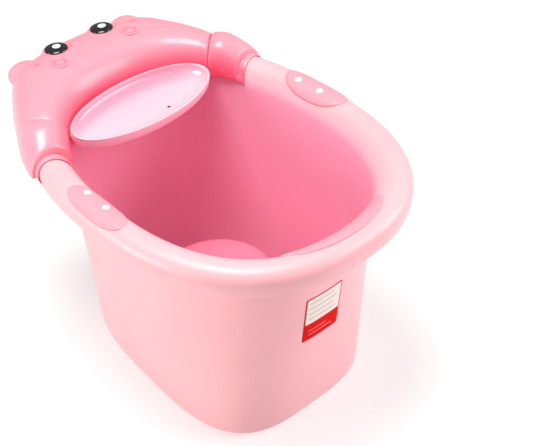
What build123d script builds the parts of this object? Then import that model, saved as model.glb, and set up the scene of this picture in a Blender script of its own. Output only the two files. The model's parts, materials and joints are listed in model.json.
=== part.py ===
from build123d import *
import os
from math import atan2, cos, degrees, hypot, pi, radians, sin

# A tall oval bath bucket for a small child, with an animal-head backrest that straddles the rear
# of the rim, a lift-out soap dish, a stool to sit on and a drain in the floor.
# Millimetres, +Z up. The head is at +Y, the foot end at -Y, and the floor is at Z = 0.
# The origin is the centre of the assembly's footprint; the tub itself sits TUB_Y ahead of it,
# because the head overhangs the rear of the rim.

TUB_Y = -22.8
floor = Plane((0, TUB_Y, 0))

# The rim: a rolled bead, round outside and with a wide roll down into the tub.
RIM_HALF_WIDTH = 239.5
RIM_HALF_LENGTH = 326.3
RIM_POWER = 2.37
RIM_TAPER = -0.042
RIM_TOP = 416.8
LIP_Z = 376.0
BEAD_RADIUS = 21.0
BEAD_HEIGHT = 20.1
LIP_TUCK = 2.5
ROLL_WIDTH = 35.0
ROLL_HEIGHT = 40.0
WALL = 3.0

# The bucket below the rim.
BASE_HALF_WIDTH = 159.4
BASE_HALF_LENGTH = 227.5
BASE_CENTRE_Y = 8.0
BASE_POWER = 3.27
BASE_TAPER = -0.092
BOTTOM_Z = 3.0
PLATE_Z = 14.0
PLATE_THICKNESS = 3.5
FLOOR_Z = PLATE_Z + PLATE_THICKNESS
FOOT_RING_WIDTH = 18.0
HEEL_RADIUS = 11.0
ARCH_Y = 12.0
ARCH_HALF_LENGTH = 62.0
ARCH_HEIGHT = 5.0

# Rubber pads let into the foot ring, each at a bearing from the base's centre, in degrees.
FOOT_LENGTH, FOOT_WIDTH, FOOT_DEPTH = 44.0, 9.0, 2.5
FOOT_BEARINGS = {"front": -68, "middle": -27, "rear": 57}

# Label on the front wall.
LABEL_X, LABEL_Z = -10.0, 241.0
LABEL_WIDTH, LABEL_HEIGHT, LABEL_THICKNESS = 70.0, 95.0, 0.4

# Soft pads on the rim, with two studs in each side pad.
PAD_THICKNESS = 2.2
GRIP_X, GRIP_Y = 209.0, -7.0
GRIP_HALF_WIDTH, GRIP_HALF_LENGTH = 26.0, 68.0
GRIP_BOTTOM_Z = 388.0
GRIP_REACH = 60.0
STUD_X, STUD_YS, STUD_RADIUS = 210.0, (-23.5, 28.5), 5.4
STUD_ROOT_Z, STUD_HEIGHT = RIM_TOP - 6.0, 10.0
FRONT_GRIP_Y, FRONT_GRIP_HALF_WIDTH, FRONT_GRIP_HALF_DEPTH = -262.0, 95.0, 44.0

# Drain in the floor at the foot end.
DRAIN_Y = -150.0
DRAIN_BORE = 19.0
DRAIN_FLANGE = 30.0

# Stool.
STOOL_Y = 9.0
STOOL_RADIUS = 98.0
STOOL_TOP = 140.0
STOOL_FOOT_HEIGHT = 3.5
STOOL_WALL = 3.5
STOOL_ARCH_WIDTH = 92.0
ARCH_TOP_Z = 84.0
SHOE_ARC = 30.0

# Head: stations across the saddle, from its middle to the crease beside the arm. Each is
# (inner x, inner y, outer x, outer y, height of the crown, height of the legs' ends, power of the dome).
HEAD_STATIONS = [
    (0, 232, 0, 372, 461, 379, 2.7),
    (46, 229, 62, 368, 461, 379, 2.7),
    (84, 216, 124, 349, 459, 379, 2.7),
    (112, 199, 160, 301, 454, 379, 2.7),
    (131, 181, 186, 251, 448, 380, 2.6),
    (139, 170, 199, 224, 442, 386, 2.5),
]
ARM_STATIONS = [
    (139, 170, 199, 224, 439, 386, 2.5),
    (140, 168, 204, 217, 446, 388, 2.5),
    (147, 158, 217, 190, 448, 391, 2.4),
    (154, 143, 228, 156, 437, 391, 2.2),
    (159, 132, 230, 141, 430, 391, 2.1),
]
HEAD_WALL = 3.0
EAR_X, EAR_Y, EAR_Z = 101.0, 342.0, 428.0
EAR_RADII = (31.0, 27.0, 19.0)
EYE_X, EYE_Y, EYE_Z, EYE_RADIUS, EYE_RISE = 45.5, 331.5, 455.0, 18.0, 4.0
EYE_DEPTH = 16.0
DISC_X, DISC_Y, DISC_Z, DISC_RADIUS = 70.0, 284.0, 462.0, 15.5
DISC_DEPTH, DISC_RISE = 6.0, 2.0

# Clip sleeve: a collar that follows the rim, from the arm's end to a slanted front end.
SLEEVE_CLEARANCE, SLEEVE_THICKNESS, SLEEVE_BOTTOM_Z = 0.6, 2.8, 388.0
SLEEVE_FRONT_INNER_Y, SLEEVE_FRONT_OUTER_Y, SLEEVE_BACK_Y = 114.0, 131.0, 158.0
SLEEVE_INNER_X, SLEEVE_OUTER_X = 140.0, 250.0

# Soap dish: an ellipse that leans up towards the head.
DISH_Y, DISH_Z = 168.0, 411.0
DISH_HALF_WIDTH, DISH_HALF_DEPTH = 133.0, 50.5
DISH_TILT = 14.9
DISH_LIP = 2.0
DISH_WALL = 3.0
DRIP_HOLE_X, DRIP_HOLE_Y, DRIP_HOLE_RADIUS = 34.0, -27.0, 2.5
TONGUE_WIDTH, TONGUE_DEPTH, TONGUE_HEIGHT = 90.0, 14.0, 14.0


def superellipse(half_width, half_length, power, taper=0.0, centre_y=0.0, count=28):
    """Evenly spread points of a superellipse whose width shrinks towards +Y by the taper."""
    points = []
    for step in range(count):
        angle = 2 * pi * step / count
        reach = (abs(cos(angle)) ** power + abs(sin(angle)) ** power) ** (-1 / power)
        along = reach * sin(angle)
        points.append((half_width * reach * cos(angle) * (1 + taper * along), centre_y + half_length * along))
    return points


def rim_outline(z, inset):
    """Horizontal face of the rim's outline, moved in by the inset."""
    with BuildSketch(floor.offset(z)) as section:
        with BuildLine():
            Spline(
                *superellipse(RIM_HALF_WIDTH - inset, RIM_HALF_LENGTH - inset, RIM_POWER, RIM_TAPER, 0),
                periodic=True,
            )
        make_face()
    return section.sketch


def base_outline(z, inset):
    """Horizontal face of the bucket's base outline, moved in by the inset."""
    with BuildSketch(floor.offset(z)) as section:
        with BuildLine():
            Spline(
                *superellipse(
                    BASE_HALF_WIDTH - inset, BASE_HALF_LENGTH - inset, BASE_POWER, BASE_TAPER, BASE_CENTRE_Y
                ),
                periodic=True,
            )
        make_face()
    return section.sketch


def bead_sections(grow):
    """Outlines of the rim's outer side, from the lip to the crest, grown by an offset."""
    sections = [
        rim_outline(LIP_Z, LIP_TUCK - grow),
        rim_outline(LIP_Z + BEAD_HEIGHT / 2, LIP_TUCK / 4 - grow),
    ]
    for angle in (0, 30, 52, 70):
        a = radians(angle)
        inset = BEAD_RADIUS - (BEAD_RADIUS + grow) * cos(a)
        sections.append(rim_outline(RIM_TOP - BEAD_HEIGHT + (BEAD_HEIGHT + grow) * sin(a), inset))
    sections.append(rim_outline(RIM_TOP + grow, BEAD_RADIUS - 1.5))
    return sections


def roll_sections(shrink):
    """Outlines of the inner roll, from the wall up to the crest, shrunk by an offset."""
    sections = []
    for angle in (0, 25, 48, 68):
        a = radians(angle)
        inset = BEAD_RADIUS + (ROLL_WIDTH + shrink) * cos(a)
        sections.append(rim_outline(RIM_TOP - ROLL_HEIGHT + (ROLL_HEIGHT + shrink) * sin(a), inset))
    sections.append(rim_outline(RIM_TOP + shrink, BEAD_RADIUS + 1.5))
    return sections


def foot_location(side, bearing):
    """Place of a pad in the middle of the foot ring, turned to run along the ring."""
    inset = HEEL_RADIUS + FOOT_RING_WIDTH / 2
    steps = [radians(bearing - 1), radians(bearing), radians(bearing + 1)]
    points = []
    for angle in steps:
        reach = (abs(cos(angle)) ** BASE_POWER + abs(sin(angle)) ** BASE_POWER) ** (-1 / BASE_POWER)
        along = reach * sin(angle)
        x = (BASE_HALF_WIDTH - inset) * reach * cos(angle) * (1 + BASE_TAPER * along)
        points.append((side * x, BASE_CENTRE_Y + (BASE_HALF_LENGTH - inset) * along))
    before, here, after = points
    heading = degrees(atan2(after[1] - before[1], after[0] - before[0]))
    return Location((here[0], here[1], 0), (0, 0, heading))


# Bucket body -----------------------------------------------------------------------------------

# The space inside the bucket, with the flared mouth.
with BuildPart() as cavity:
    loft(
        [base_outline(FLOOR_Z, WALL), rim_outline(RIM_TOP - ROLL_HEIGHT, BEAD_RADIUS + ROLL_WIDTH)],
        ruled=True,
    )
    fillet(cavity.edges().group_by(Axis.Z)[0], radius=HEEL_RADIUS)
    loft(roll_sections(0))
    extrude(rim_outline(RIM_TOP, BEAD_RADIUS + 1.5), amount=5)

# The rolled bead without its hollow underside.
with BuildPart() as bead:
    loft(bead_sections(0))

# The finger space under the bead, between the lip and the wall.
with BuildPart() as finger_space:
    loft(bead_sections(-WALL))
    extrude(rim_outline(LIP_Z, LIP_TUCK + WALL), amount=-2)
    loft(roll_sections(-WALL), mode=Mode.SUBTRACT)
    extrude(
        rim_outline(RIM_TOP - ROLL_HEIGHT, BEAD_RADIUS + ROLL_WIDTH - WALL), amount=-4, mode=Mode.SUBTRACT
    )

# The bucket below the bead, as one solid block.
with BuildPart() as bucket_block:
    loft(
        [base_outline(BOTTOM_Z, 0.5), rim_outline(RIM_TOP - ROLL_HEIGHT, BEAD_RADIUS + ROLL_WIDTH - WALL)],
        ruled=True,
    )

with BuildPart() as tub_body:
    add(bucket_block.part)
    fillet(tub_body.edges().group_by(Axis.Z)[0], radius=HEEL_RADIUS)
    add(bead.part)
    add(finger_space.part, mode=Mode.SUBTRACT)
    add(cavity.part, mode=Mode.SUBTRACT)
    # The underside is raised inside the foot ring.
    extrude(
        base_outline(BOTTOM_Z, HEEL_RADIUS + FOOT_RING_WIDTH), amount=PLATE_Z - BOTTOM_Z, mode=Mode.SUBTRACT
    )
    # A shallow arch lifts the ring off the ground between the front and rear pads.
    with BuildSketch(Plane.YZ.offset(-RIM_HALF_WIDTH)) as arch:
        with Locations((TUB_Y + ARCH_Y, BOTTOM_Z)):
            Ellipse(ARCH_HALF_LENGTH, ARCH_HEIGHT)
    extrude(amount=2 * RIM_HALF_WIDTH, mode=Mode.SUBTRACT)
    # Pockets for the rubber pads.
    with BuildSketch(floor.offset(BOTTOM_Z)):
        for bearing in FOOT_BEARINGS.values():
            with Locations(foot_location(-1, bearing), foot_location(1, bearing)):
                SlotOverall(FOOT_LENGTH, FOOT_WIDTH)
    extrude(amount=FOOT_DEPTH, mode=Mode.SUBTRACT)
    with Locations((0, TUB_Y + DRAIN_Y, PLATE_Z)):
        Cylinder(
            DRAIN_BORE, PLATE_THICKNESS, align=(Align.CENTER, Align.CENTER, Align.MIN), mode=Mode.SUBTRACT
        )
tub_body.part.label = "tub_body"
export_step(tub_body.part, "parts/tub_body.step")

for place, bearing in FOOT_BEARINGS.items():
    for side, side_name in ((-1, "left"), (1, "right")):
        with BuildPart() as foot:
            with BuildSketch(floor):
                with Locations(foot_location(side, bearing)):
                    SlotOverall(FOOT_LENGTH - 0.2, FOOT_WIDTH - 0.2)
            extrude(amount=BOTTOM_Z + FOOT_DEPTH)
            chamfer(foot.edges().group_by(Axis.Z)[0], length=0.8)
        foot.part.label = f"foot_{place}_{side_name}"
        export_step(foot.part, f"parts/foot_{place}_{side_name}.step")

# Label on the front wall: a thin plain plate that follows the wall.
with BuildPart() as label:
    loft(
        [base_outline(BOTTOM_Z, 0.5 - LABEL_THICKNESS),
         rim_outline(RIM_TOP - ROLL_HEIGHT, BEAD_RADIUS + ROLL_WIDTH - WALL - LABEL_THICKNESS)],
        ruled=True,
    )
    with Locations((LABEL_X, TUB_Y - BASE_HALF_LENGTH, LABEL_Z)):
        Box(LABEL_WIDTH, 120, LABEL_HEIGHT, mode=Mode.INTERSECT)
    add(bucket_block.part, mode=Mode.SUBTRACT)
label.part.label = "label"
export_step(label.part, "parts/label.step")

# Rim pads ----------------------------------------------------------------------------------------


def rim_band(grow):
    """The bead and the roll as one solid ring, grown on every visible side."""
    with BuildPart() as band:
        loft(bead_sections(grow))
        loft(roll_sections(grow), mode=Mode.SUBTRACT)
    return band.part


bare_band = rim_band(0)
padded_band = rim_band(PAD_THICKNESS)

for side, side_name in ((-1, "left"), (1, "right")):
    with BuildPart() as studs:
        with Locations(*[(side * STUD_X, TUB_Y + y, STUD_ROOT_Z) for y in STUD_YS]):
            Cylinder(STUD_RADIUS, STUD_HEIGHT, align=(Align.CENTER, Align.CENTER, Align.MIN))
        fillet(studs.edges().group_by(Axis.Z)[-1], radius=1.6)
        add(bare_band, mode=Mode.SUBTRACT)
    with BuildPart() as grip:
        add(padded_band)
        with BuildSketch(floor.offset(GRIP_BOTTOM_Z)):
            with BuildLine(Location((side * GRIP_X, GRIP_Y))):
                Spline(*superellipse(GRIP_HALF_WIDTH, GRIP_HALF_LENGTH, 2.3), periodic=True)
            make_face()
        extrude(amount=GRIP_REACH, mode=Mode.INTERSECT)
        add(bare_band, mode=Mode.SUBTRACT)
        add(studs.part, mode=Mode.SUBTRACT)
    grip.part.label = f"side_grip_{side_name}"
    export_step(grip.part, f"parts/side_grip_{side_name}.step")
    studs.part.label = f"grip_studs_{side_name}"
    export_step(studs.part, f"parts/grip_studs_{side_name}.step")

with BuildPart() as front_grip:
    add(padded_band)
    with BuildSketch(floor.offset(GRIP_BOTTOM_Z)):
        with Locations((0, FRONT_GRIP_Y)):
            Ellipse(FRONT_GRIP_HALF_WIDTH, FRONT_GRIP_HALF_DEPTH)
    extrude(amount=GRIP_REACH, mode=Mode.INTERSECT)
    add(bare_band, mode=Mode.SUBTRACT)
front_grip.part.label = "front_grip"
export_step(front_grip.part, "parts/front_grip.step")

# Drain -------------------------------------------------------------------------------------------

drain_axis = Plane((0, TUB_Y + DRAIN_Y, 0))
TUBE_RADIUS = DRAIN_BORE - 0.4
GASKET_THICKNESS = 1.5
FLANGE_Z = FLOOR_Z + GASKET_THICKNESS
SEAT_BORE = 15.0


def ring(bottom_z, top_z, outer_radius, inner_radius):
    """Upright ring about the drain's axis."""
    with BuildPart() as body:
        with BuildSketch(drain_axis.offset(bottom_z)):
            Circle(outer_radius)
            Circle(inner_radius, mode=Mode.SUBTRACT)
        extrude(amount=top_z - bottom_z)
    return body.part


with BuildPart() as drain_gasket:
    add(ring(FLOOR_Z, FLANGE_Z, DRAIN_FLANGE - 1, DRAIN_BORE + 0.3))
drain_gasket.part.label = "drain_gasket"
export_step(drain_gasket.part, "parts/drain_gasket.step")

with BuildPart() as drain_seat:
    add(ring(FLANGE_Z, FLANGE_Z + 2.5, DRAIN_FLANGE, SEAT_BORE))
    add(ring(5.5, FLANGE_Z, TUBE_RADIUS, SEAT_BORE))
    chamfer(drain_seat.edges().filter_by(GeomType.CIRCLE).group_by(Axis.Z)[-1], length=0.9)
drain_seat.part.label = "drain_seat"
export_step(drain_seat.part, "parts/drain_seat.step")

with BuildPart() as drain_nut:
    with BuildSketch(drain_axis.offset(PLATE_Z - 6.5)):
        RegularPolygon(radius=25, side_count=6, major_radius=False)
        Circle(TUBE_RADIUS + 0.1, mode=Mode.SUBTRACT)
    extrude(amount=6.5)
drain_nut.part.label = "drain_nut"
export_step(drain_nut.part, "parts/drain_nut.step")

with BuildPart() as drain_plug:
    with BuildSketch(drain_axis.offset(7.0)):
        Circle(SEAT_BORE - 1.4)
    extrude(amount=FLANGE_Z + 3.0 - 7.0, taper=-3)
    add(ring(FLANGE_Z + 2.8, FLANGE_Z + 6.0, 20, 4))
    with Locations((0, TUB_Y + DRAIN_Y, FLANGE_Z + 3.0)):
        Cylinder(6, 3.0, align=(Align.CENTER, Align.CENTER, Align.MIN))
    # The pull tab stands on the plug as a flat loop.
    with BuildSketch(Plane.XZ.offset(-(TUB_Y + DRAIN_Y) - 2.0)):
        with Locations((0, FLANGE_Z + 6.0)):
            SlotOverall(26, 22, rotation=90)
            with Locations((0, 3)):
                Circle(6, mode=Mode.SUBTRACT)
            with Locations((0, -10)):
                Rectangle(40, 20, mode=Mode.SUBTRACT)
    extrude(amount=4)
drain_plug.part.label = "drain_plug"
export_step(drain_plug.part, "parts/drain_plug.step")

# Stool -------------------------------------------------------------------------------------------


def stool_plane(bearing):
    """Upright plane through the stool's axis, facing sideways to the bearing in degrees."""
    a = radians(bearing)
    return Plane(origin=(0, TUB_Y + STOOL_Y, 0), x_dir=(cos(a), sin(a), 0), z_dir=(sin(a), -cos(a), 0))


stool_axis = Axis((0, TUB_Y + STOOL_Y, 0), (0, 0, 1))
LEG_BOTTOM_Z = FLOOR_Z + STOOL_FOOT_HEIGHT

with BuildPart() as stool:
    with BuildSketch(stool_plane(0)):
        with BuildLine():
            seat = ThreePointArc(
                (0, STOOL_TOP - 3), (STOOL_RADIUS / 2, STOOL_TOP - 2.2), (STOOL_RADIUS - 14, STOOL_TOP)
            )
            edge = ThreePointArc(
                seat @ 1, (STOOL_RADIUS - 2.6, STOOL_TOP - 4), (STOOL_RADIUS, STOOL_TOP - 12)
            )
            Polyline(
                edge @ 1,
                (STOOL_RADIUS, STOOL_TOP - 20),
                (STOOL_RADIUS - 8, STOOL_TOP - 24),
                (STOOL_RADIUS, LEG_BOTTOM_Z),
                (STOOL_RADIUS - STOOL_WALL, LEG_BOTTOM_Z),
                (STOOL_RADIUS - 8 - STOOL_WALL, STOOL_TOP - 22),
                (STOOL_RADIUS - 16, STOOL_TOP - 7),
                (0, STOOL_TOP - 7),
                seat @ 0,
            )
        make_face()
    revolve(axis=stool_axis)
    # Four arches leave four legs on the diagonals.
    for bearing in (0, 90):
        with BuildSketch(stool_plane(bearing).offset(-STOOL_RADIUS - 10)):
            with Locations((0, LEG_BOTTOM_Z - 20)):
                SlotOverall(2 * (ARCH_TOP_Z - LEG_BOTTOM_Z + 20), STOOL_ARCH_WIDTH, rotation=90)
        extrude(amount=2 * STOOL_RADIUS + 20, mode=Mode.SUBTRACT)
stool.part.label = "stool"
export_step(stool.part, "parts/stool.step")

for number, bearing in enumerate((45, 135, 225, 315), start=1):
    with BuildPart() as shoe:
        with BuildSketch(stool_plane(bearing - SHOE_ARC / 2)):
            with Locations((STOOL_RADIUS - STOOL_WALL / 2, FLOOR_Z)):
                Rectangle(STOOL_WALL + 5, 10, align=(Align.CENTER, Align.MIN))
        revolve(axis=stool_axis, revolution_arc=SHOE_ARC)
        add(stool.part, mode=Mode.SUBTRACT)
    shoe.part.label = f"stool_shoe_{number}"
    export_step(shoe.part, f"parts/stool_shoe_{number}.step")

# Head --------------------------------------------------------------------------------------------


def saddle_section(side, station, inset, drop=0.0):
    """Upright face across the saddle: a superelliptic dome on straight legs."""
    inner_x, inner_y, outer_x, outer_y, crown, legs_end, power = station
    length = hypot(outer_x - inner_x, outer_y - inner_y)
    outward = (side * (outer_x - inner_x) / length, (outer_y - inner_y) / length, 0)
    middle = (side * (inner_x + outer_x) / 2, TUB_Y + (inner_y + outer_y) / 2, legs_end)
    upright = Plane(origin=middle, x_dir=outward, z_dir=(outward[1], -outward[0], 0))
    half = length / 2 - inset
    height = crown - legs_end - inset
    dome = []
    for step in range(13):
        angle = pi * step / 12
        reach = (abs(cos(angle)) ** power + abs(sin(angle)) ** power) ** (-1 / power)
        dome.append((half * reach * cos(angle), height * reach * sin(angle)))
    with BuildSketch(upright) as section:
        with BuildLine():
            Spline(*dome, tangents=((0, 1), (0, -1)))
            Polyline(dome[-1], (-half, -2.0 - drop), (half, -2.0 - drop), dome[0])
        make_face()
    return section.sketch


def saddle(side_stations, inset, drop=0.0):
    """Solid lofted through the (side, station) pairs."""
    with BuildPart() as body:
        loft([saddle_section(side, station, inset, drop) for side, station in side_stations])
    return body.part


across_head = [(-1, station) for station in reversed(HEAD_STATIONS[1:])]
across_head += [(1, station) for station in HEAD_STATIONS]
head_block = saddle(across_head, 0)

with BuildPart() as head_cover:
    add(head_block)
    for side in (-1, 1):
        ear = scale(Sphere(1, mode=Mode.PRIVATE), by=EAR_RADII, mode=Mode.PRIVATE)
        add(ear.moved(Location((side * EAR_X, TUB_Y + EAR_Y, EAR_Z))))
    add(saddle(across_head, HEAD_WALL, 6), mode=Mode.SUBTRACT)
head_cover.part.label = "head_cover"
export_step(head_cover.part, "parts/head_cover.step")

# Room for the rim in a sleeve, straight below the bead's widest line so that the sleeve lifts off.
with BuildPart() as rim_room:
    add(rim_band(SLEEVE_CLEARANCE))
    with BuildSketch(floor.offset(LIP_Z)):
        add(rim_outline(LIP_Z, -SLEEVE_CLEARANCE))
        add(rim_outline(LIP_Z, BEAD_RADIUS), mode=Mode.SUBTRACT)
    extrude(amount=RIM_TOP - BEAD_HEIGHT - LIP_Z)
sleeve_band = rim_band(SLEEVE_CLEARANCE + SLEEVE_THICKNESS)

for side, side_name in ((-1, "left"), (1, "right")):
    along_arm = [(side, station) for station in ARM_STATIONS]
    arm_block = saddle(along_arm, 0)
    with BuildPart() as arm:
        add(arm_block)
        add(saddle(along_arm, HEAD_WALL, 6), mode=Mode.SUBTRACT)
    arm.part.label = f"arm_{side_name}"
    export_step(arm.part, f"parts/arm_{side_name}.step")
    with BuildPart() as sleeve:
        add(sleeve_band)
        with BuildSketch(floor.offset(SLEEVE_BOTTOM_Z)):
            with BuildLine():
                Polyline(
                    (side * SLEEVE_INNER_X, SLEEVE_FRONT_INNER_Y),
                    (side * SLEEVE_OUTER_X, SLEEVE_FRONT_OUTER_Y),
                    (side * SLEEVE_OUTER_X, SLEEVE_BACK_Y),
                    (side * SLEEVE_INNER_X, SLEEVE_BACK_Y),
                    close=True,
                )
            make_face()
        extrude(amount=RIM_TOP, mode=Mode.INTERSECT)
        add(rim_room.part, mode=Mode.SUBTRACT)
        add(arm_block, mode=Mode.SUBTRACT)
    sleeve.part.label = f"clip_sleeve_{side_name}"
    export_step(sleeve.part, f"parts/clip_sleeve_{side_name}.step")

    with BuildPart() as eye:
        with Locations((side * EYE_X, TUB_Y + EYE_Y, EYE_Z - EYE_DEPTH)):
            Cylinder(EYE_RADIUS, EYE_DEPTH + EYE_RISE, align=(Align.CENTER, Align.CENTER, Align.MIN))
        fillet(eye.edges().group_by(Axis.Z)[-1], radius=EYE_RISE)
        add(head_block, mode=Mode.SUBTRACT)
    eye.part.label = f"eye_{side_name}"
    export_step(eye.part, f"parts/eye_{side_name}.step")

    with BuildPart() as disc:
        with Locations((side * DISC_X, TUB_Y + DISC_Y, DISC_Z - DISC_DEPTH)):
            Cylinder(DISC_RADIUS, DISC_DEPTH + DISC_RISE, align=(Align.CENTER, Align.CENTER, Align.MIN))
        fillet(disc.edges().group_by(Axis.Z)[-1], radius=1.5)
        add(head_block, mode=Mode.SUBTRACT)
    disc.part.label = f"cheek_disc_{side_name}"
    export_step(disc.part, f"parts/cheek_disc_{side_name}.step")

# Soap dish and its holder ------------------------------------------------------------------------

dish_plane = Plane((0, TUB_Y + DISH_Y, DISH_Z)).rotated((DISH_TILT, 0, 0))


def dish_bowl(inset, sections):
    """Solid lofted through ellipses that shrink as they go down from the dish's face."""
    faces = []
    for depth, shrink in sections:
        with BuildSketch(dish_plane.offset(-depth)) as face:
            Ellipse(DISH_HALF_WIDTH - inset - shrink, DISH_HALF_DEPTH - inset - shrink * 0.8)
        faces.append(face.sketch)
    with BuildPart() as bowl:
        loft(faces)
    return bowl.part


HOLDER_SECTIONS = [(DISH_LIP + 0.2, 0), (13, 0.8), (21, 7), (27, 20)]
POCKET_SECTIONS = [(DISH_LIP + 0.2, 0), (11, 1.2), (18, 8), (22, 20)]
DISH_SECTIONS = [(0, 0), (6, 1.5), (11, 6), (15, 16)]

with BuildPart() as dish_holder:
    add(dish_bowl(0, HOLDER_SECTIONS))
    # The tongue that hangs the holder on the head's inner wall.
    with BuildSketch(dish_plane.offset(-DISH_LIP - 0.2)):
        with Locations((0, DISH_HALF_DEPTH + 4)):
            Rectangle(TONGUE_WIDTH, TONGUE_DEPTH)
    extrude(amount=-TONGUE_HEIGHT)
    add(dish_bowl(DISH_WALL, POCKET_SECTIONS), mode=Mode.SUBTRACT)
    add(head_block, mode=Mode.SUBTRACT)
dish_holder.part.label = "dish_holder"
export_step(dish_holder.part, "parts/dish_holder.step")

with BuildPart() as soap_dish:
    with BuildSketch(dish_plane):
        Ellipse(DISH_HALF_WIDTH, DISH_HALF_DEPTH)
    extrude(amount=-DISH_LIP)
    add(dish_bowl(3.6, [(depth + DISH_LIP - 0.5, shrink + 1) for depth, shrink in DISH_SECTIONS]))
    add(dish_bowl(5.0, [(depth, shrink + 1.5) for depth, shrink in DISH_SECTIONS]), mode=Mode.SUBTRACT)
    with BuildSketch(dish_plane):
        with Locations((DRIP_HOLE_X, DRIP_HOLE_Y)):
            Circle(DRIP_HOLE_RADIUS)
    extrude(amount=-30, mode=Mode.SUBTRACT)
soap_dish.part.label = "soap_dish"
export_step(soap_dish.part, "parts/soap_dish.step")
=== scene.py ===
import json
from math import asin, cos, pi, radians, sin

import bmesh
import bpy
import numpy as np
from mathutils import Matrix, Vector


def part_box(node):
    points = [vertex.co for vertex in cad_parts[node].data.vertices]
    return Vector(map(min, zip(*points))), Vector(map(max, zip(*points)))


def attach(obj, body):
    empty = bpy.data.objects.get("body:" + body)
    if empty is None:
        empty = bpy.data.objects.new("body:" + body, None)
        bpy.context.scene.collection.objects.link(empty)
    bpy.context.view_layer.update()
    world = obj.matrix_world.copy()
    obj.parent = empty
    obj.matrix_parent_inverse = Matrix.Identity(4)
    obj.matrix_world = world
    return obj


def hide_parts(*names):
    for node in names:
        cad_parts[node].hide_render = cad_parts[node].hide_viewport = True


# A tall pink bath bucket with an animal-head backrest. Metres, +Z up, head at +Y.
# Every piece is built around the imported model, whose boxes give the sizes below.

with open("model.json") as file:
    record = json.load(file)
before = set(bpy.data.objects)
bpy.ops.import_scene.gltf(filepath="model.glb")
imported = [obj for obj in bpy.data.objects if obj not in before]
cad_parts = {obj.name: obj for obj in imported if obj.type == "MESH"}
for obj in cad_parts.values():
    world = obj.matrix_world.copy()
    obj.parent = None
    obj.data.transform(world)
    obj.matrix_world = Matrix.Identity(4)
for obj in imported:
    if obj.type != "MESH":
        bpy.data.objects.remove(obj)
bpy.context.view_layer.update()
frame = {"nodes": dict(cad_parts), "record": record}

MM = 0.001

# Sizes read from the frame --------------------------------------------------------------------

tub_low, tub_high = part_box("tub_body")
RIM_HALF_WIDTH = (tub_high.x - tub_low.x) / 2 - 0.5 * MM
RIM_HALF_LENGTH = (tub_high.y - tub_low.y) / 2
TUB_Y = (tub_high.y + tub_low.y) / 2
RIM_TOP = tub_high.z
BOTTOM_Z = tub_low.z

# The shape of the rim, in the same terms as the design: a superellipse, narrower at the rear.
RIM_POWER, RIM_TAPER = 2.37, -0.042
BEAD_RADIUS, BEAD_HEIGHT, LIP_DEPTH, LIP_TUCK = 21 * MM, 20.1 * MM, 40.8 * MM, 2.5 * MM
ROLL_WIDTH, ROLL_HEIGHT = 35 * MM, 40 * MM
WALL = 3 * MM
BEAD_Z = RIM_TOP - BEAD_HEIGHT
ROLL_Z = RIM_TOP - ROLL_HEIGHT
LIP_Z = RIM_TOP - LIP_DEPTH

# The bucket's base outline.
BASE_HALF_WIDTH, BASE_HALF_LENGTH, BASE_CENTRE_Y = 159.4 * MM, 227.5 * MM, 8 * MM
BASE_POWER, BASE_TAPER = 3.27, -0.092
PLATE_Z = BOTTOM_Z + 11 * MM
FLOOR_Z = PLATE_Z + 3.5 * MM
HEEL_RADIUS, FOOT_RING_WIDTH = 11 * MM, 18 * MM
ARCH_Y, ARCH_HALF_LENGTH, ARCH_HEIGHT = 12 * MM, 66 * MM, 5 * MM

RING_STEPS = 256

# Small helpers --------------------------------------------------------------------------------


def new_object(name, verts, faces):
    """Mesh object from vertices and faces, with its normals made consistent."""
    mesh = bpy.data.meshes.new(name)
    mesh.from_pydata([tuple(v) for v in verts], [], faces)
    work = bmesh.new()
    work.from_mesh(mesh)
    bmesh.ops.recalc_face_normals(work, faces=work.faces)
    work.to_mesh(mesh)
    work.free()
    mesh.polygons.foreach_set("use_smooth", [True] * len(mesh.polygons))
    piece = bpy.data.objects.new(name, mesh)
    bpy.context.scene.collection.objects.link(piece)
    return piece


def grid_faces(rows, columns, wrap_rows=False, wrap_columns=True):
    """Quads of a grid whose vertices are stored row by row."""
    faces = []
    for i in range(rows if wrap_rows else rows - 1):
        below = (i + 1) % rows
        for j in range(columns if wrap_columns else columns - 1):
            beside = (j + 1) % columns
            near, far = i * columns, below * columns
            faces.append((near + j, near + beside, far + beside, far + j))
    return faces


def apply_modifiers(*pieces):
    """Replaces each piece's mesh by its evaluated mesh."""
    depsgraph = bpy.context.evaluated_depsgraph_get()
    made = [bpy.data.meshes.new_from_object(piece.evaluated_get(depsgraph)) for piece in pieces]
    for piece, mesh in zip(pieces, made):
        old = piece.data
        piece.modifiers.clear()
        piece.data = mesh
        bpy.data.meshes.remove(old)
        piece.data.name = piece.name


# Pieces whose modifiers are applied together at the end, and the rules for their painted shade and bounce
# light.
to_apply, painted_shade_rules = [], []


def subdivide(piece, levels=1):
    """Catmull-Clark subdivision."""
    if levels:
        modifier = piece.modifiers.new("subdivision", "SUBSURF")
        modifier.levels = modifier.render_levels = levels
        to_apply.append(piece)
    return piece


def finish_piece(piece, body, slot, material, *replaced):
    """Puts the piece on its body, gives it its material and hides the design's nodes that it stands for."""
    piece.data.materials.clear()
    piece.data.materials.append(material)
    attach(piece, body)
    if replaced:
        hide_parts(*replaced)
    return piece


def superellipse(angle, half_width, half_length, power, taper, centre_y):
    """Plan point or points of a superellipse whose width shrinks towards +Y."""
    reach = (np.abs(np.cos(angle)) ** power + np.abs(np.sin(angle)) ** power) ** (-1 / power)
    along = reach * np.sin(angle)
    x = half_width * reach * np.cos(angle) * (1 + taper * along)
    return np.stack([x, TUB_Y + centre_y + half_length * along], axis=-1)


def rim_plan(angle, inset):
    return superellipse(angle, RIM_HALF_WIDTH - inset, RIM_HALF_LENGTH - inset, RIM_POWER, RIM_TAPER, 0)


def base_plan(angle, inset):
    return superellipse(
        angle, BASE_HALF_WIDTH - inset, BASE_HALF_LENGTH - inset, BASE_POWER, BASE_TAPER, BASE_CENTRE_Y
    )


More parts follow.
